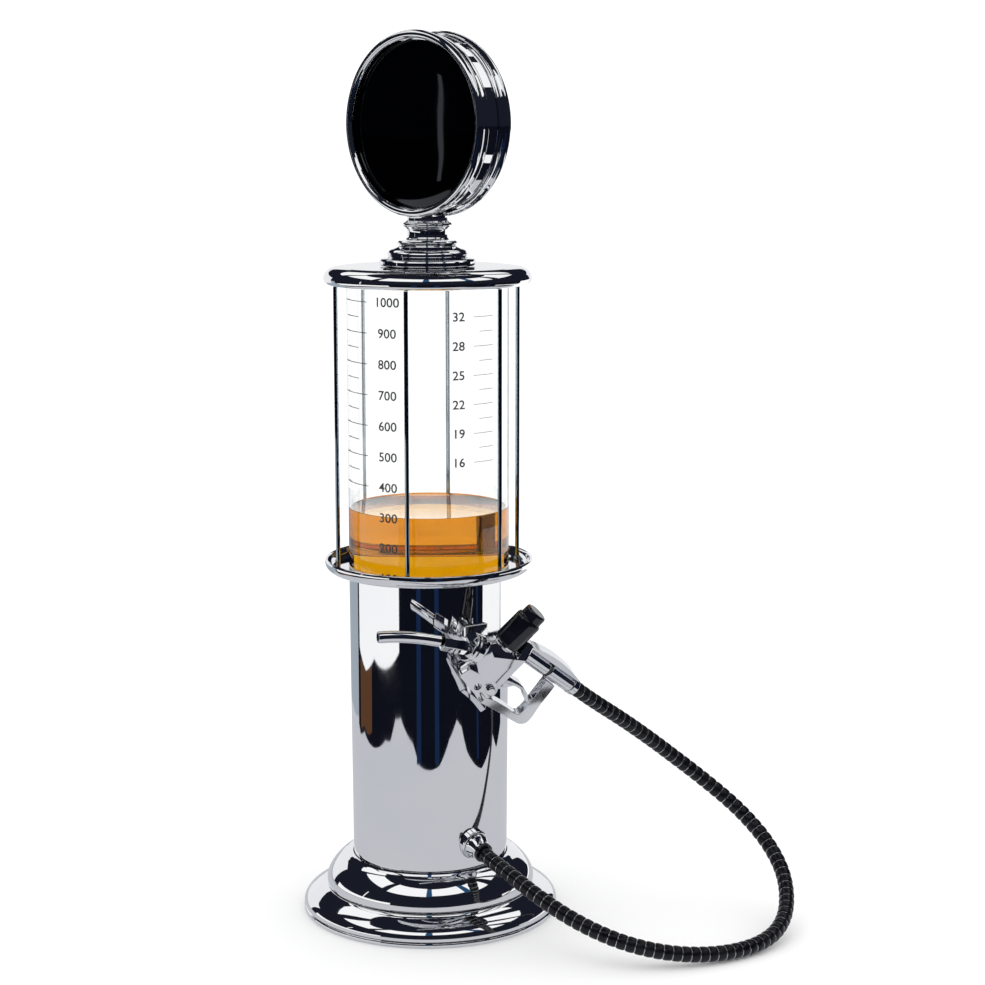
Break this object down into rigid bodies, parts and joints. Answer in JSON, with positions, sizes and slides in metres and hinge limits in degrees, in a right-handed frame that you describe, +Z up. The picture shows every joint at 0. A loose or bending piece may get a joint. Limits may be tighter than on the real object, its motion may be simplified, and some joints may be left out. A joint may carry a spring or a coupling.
{
  "type": "table-top drinks dispenser in the shape of a visible gas pump",
  "caption": "Chrome table-top drinks dispenser shaped like an old gas pump: stepped base, column, glass tank in a cage of rods, round head, and a lever nozzle on a hose.",
  "frame": {"origin": "centre of the base's underside, on the table", "axes": "+Z up along the column; +X to the side that the hose leaves from and that the nozzle hangs on; the spout points towards -Y"},
  "size_m": [0.2433, 0.2315, 0.4955],
  "materials": {
    "chrome": "bright chrome plating, mirror smooth",
    "steel": "plain machined steel",
    "dark_mirror": "domed black mirror",
    "clear_glass": "clear polished glass with printed marks",
    "amber_drink": "clear amber liquid",
    "silicone": "translucent silicone",
    "black_rubber": "matt black rubber",
    "hose_black": "black ribbed hose, semi-gloss",
    "black_plastic": "glossy black moulding"
  },
  "bodies": {
    "stand": {"foot_pad": "black_rubber", "base_plate": "steel", "base_lower_step": "chrome", "base_upper_step": "chrome", "column_floor": "steel", "base_bolt_1": "steel", "base_bolt_2": "steel", "base_bolt_3": "steel", "column_shell": "chrome", "rod_ring": "chrome", "rod_1": "chrome", "rod_2": "chrome", "rod_3": "chrome", "rod_4": "chrome", "rod_5": "chrome", "rod_6": "chrome", "lower_gasket": "silicone", "glass_tube": "clear_glass", "upper_gasket": "silicone", "tank_cup": "steel", "liquid_fill": "amber_drink", "cap_shell": "chrome", "outlet_boss": "chrome", "outlet_stub": "chrome", "outlet_locknut": "steel", "hose_collar": "black_plastic", "feed_tube": "silicone", "hose": "hose_black", "hanger_plate": "chrome", "hanger_arm": "chrome"},
    "lid": {"filler_plug": "chrome", "plug_seal": "silicone", "lid_flange": "chrome"},
    "head": {"neck_post": "chrome", "head_band": "chrome", "head_bezel_front": "chrome", "head_bezel_rear": "chrome", "head_face_front": "dark_mirror", "head_face_rear": "dark_mirror", "head_stud": "steel"},
    "nozzle": {"nozzle_body": "chrome", "lever_bracket": "chrome", "nozzle_flange": "chrome", "spout_nut": "chrome", "spout": "chrome", "grip_tube": "chrome", "grip_ring": "black_rubber", "grip_sleeve": "chrome", "tail_ferrule": "chrome", "grip_strap": "chrome", "trigger_guard": "chrome", "trigger_pin": "chrome", "trigger_spring": "steel", "knob_bonnet": "chrome", "hanger_eye": "chrome"},
    "trigger_lever": {"trigger": "chrome"},
    "stem": {"valve_stem": "steel"},
    "knob": {"valve_spindle": "steel", "valve_knob": "black_plastic"}
  },
  "joints": [
    {"name": "lid_lift", "type": "slide", "parent": "stand", "child": "lid", "axis": [0, 0, 1], "range_m": [0, 0.03]},
    {"name": "head_turn", "type": "hinge", "parent": "lid", "child": "head", "pos_m": [0, 0, 0.3822], "axis": [0, 0, 1], "continuous": true},
    {"name": "nozzle_lift", "type": "slide", "parent": "stand", "child": "nozzle", "axis": [0.3519, -0.1054, 0.9301], "range_m": [0, 0.014]},
    {"name": "trigger_pull", "type": "hinge", "parent": "nozzle", "child": "trigger_lever", "pos_m": [0.05932, -0.00042, 0.14241], "axis": [0.891, -0.2668, -0.3673], "range_deg": [0, 12.4]},
    {"name": "stem_push", "type": "slide", "parent": "nozzle", "child": "stem", "axis": [0, 0.809, -0.5878], "range_m": [-0.00199, 0], "stiffness_N_per_m": 5, "springref_m": 0.012},
    {"name": "knob_turn", "type": "hinge", "parent": "nozzle", "child": "knob", "pos_m": [0.0654, -0.00319, 0.15918], "axis": [0.454, 0.5237, 0.7208], "range_deg": [0, 90]}
  ],
  "couplings": [
    {"joint": "trigger_pull", "follows": "stem_push", "rad_per_m": -105}
  ]
}
